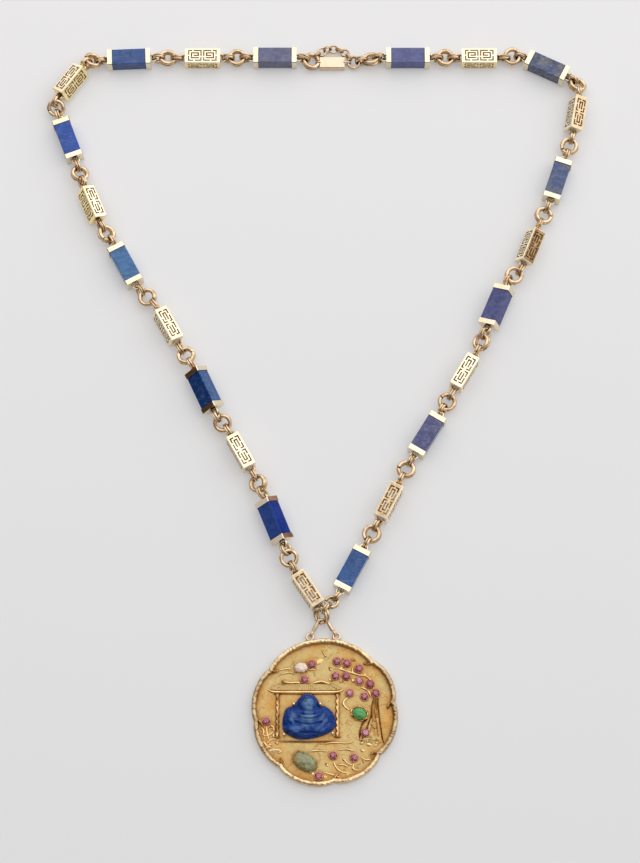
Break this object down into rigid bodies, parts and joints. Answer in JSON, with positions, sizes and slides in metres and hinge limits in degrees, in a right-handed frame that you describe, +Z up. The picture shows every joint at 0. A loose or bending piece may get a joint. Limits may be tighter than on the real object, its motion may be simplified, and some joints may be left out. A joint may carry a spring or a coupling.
{
  "type": "sautoir necklace",
  "caption": "Long gold chain of capped lapis bars and pierced gold bars, closed by a box clasp, with a lobed relief medallion set with coloured stones.",
  "frame": {"origin": "middle of the necklace's box at the surface that it lies on", "axes": "+Z up from the surface; +Y from the medallion to the clasp; +X across the loop to the picture's right"},
  "size_m": [0.2592, 0.3583, 0.0109],
  "materials": {
    "gold": "polished",
    "lapis": "polished",
    "lapis_carved": "polished",
    "pink_stone": "cut",
    "green_stone": "polished",
    "white_stone": "polished",
    "jade": "polished"
  },
  "bodies": {
    "root": {"stone_01": "lapis", "stone_02": "lapis", "stone_03": "lapis", "stone_04": "lapis", "stone_05": "lapis", "stone_06": "lapis", "stone_07": "lapis", "stone_08": "lapis", "stone_09": "lapis", "stone_10": "lapis", "stone_11": "lapis", "stone_12": "lapis", "capped_rod_01": "gold", "capped_rod_02": "gold", "capped_rod_03": "gold", "capped_rod_04": "gold", "capped_rod_05": "gold", "capped_rod_06": "gold", "capped_rod_07": "gold", "capped_rod_08": "gold", "capped_rod_09": "gold", "capped_rod_10": "gold", "capped_rod_11": "gold", "capped_rod_12": "gold", "pierced_bar_01": "gold", "pierced_bar_02": "gold", "pierced_bar_03": "gold", "pierced_bar_04": "gold", "pierced_bar_05": "gold", "pierced_bar_06": "gold", "pierced_bar_07": "gold", "pierced_bar_08": "gold", "pierced_bar_09": "gold", "pierced_bar_10": "gold", "pierced_bar_11": "gold", "rings_right": "gold", "rings_left": "gold", "clasp_box": "gold", "clasp_tongue": "gold", "safety_chain": "gold", "pendant_ring": "gold", "bail": "gold", "medallion": "gold", "figure": "lapis_carved", "rubies": "pink_stone", "emerald": "green_stone", "opal": "white_stone", "jade": "jade"}
  },
  "joints": []
}
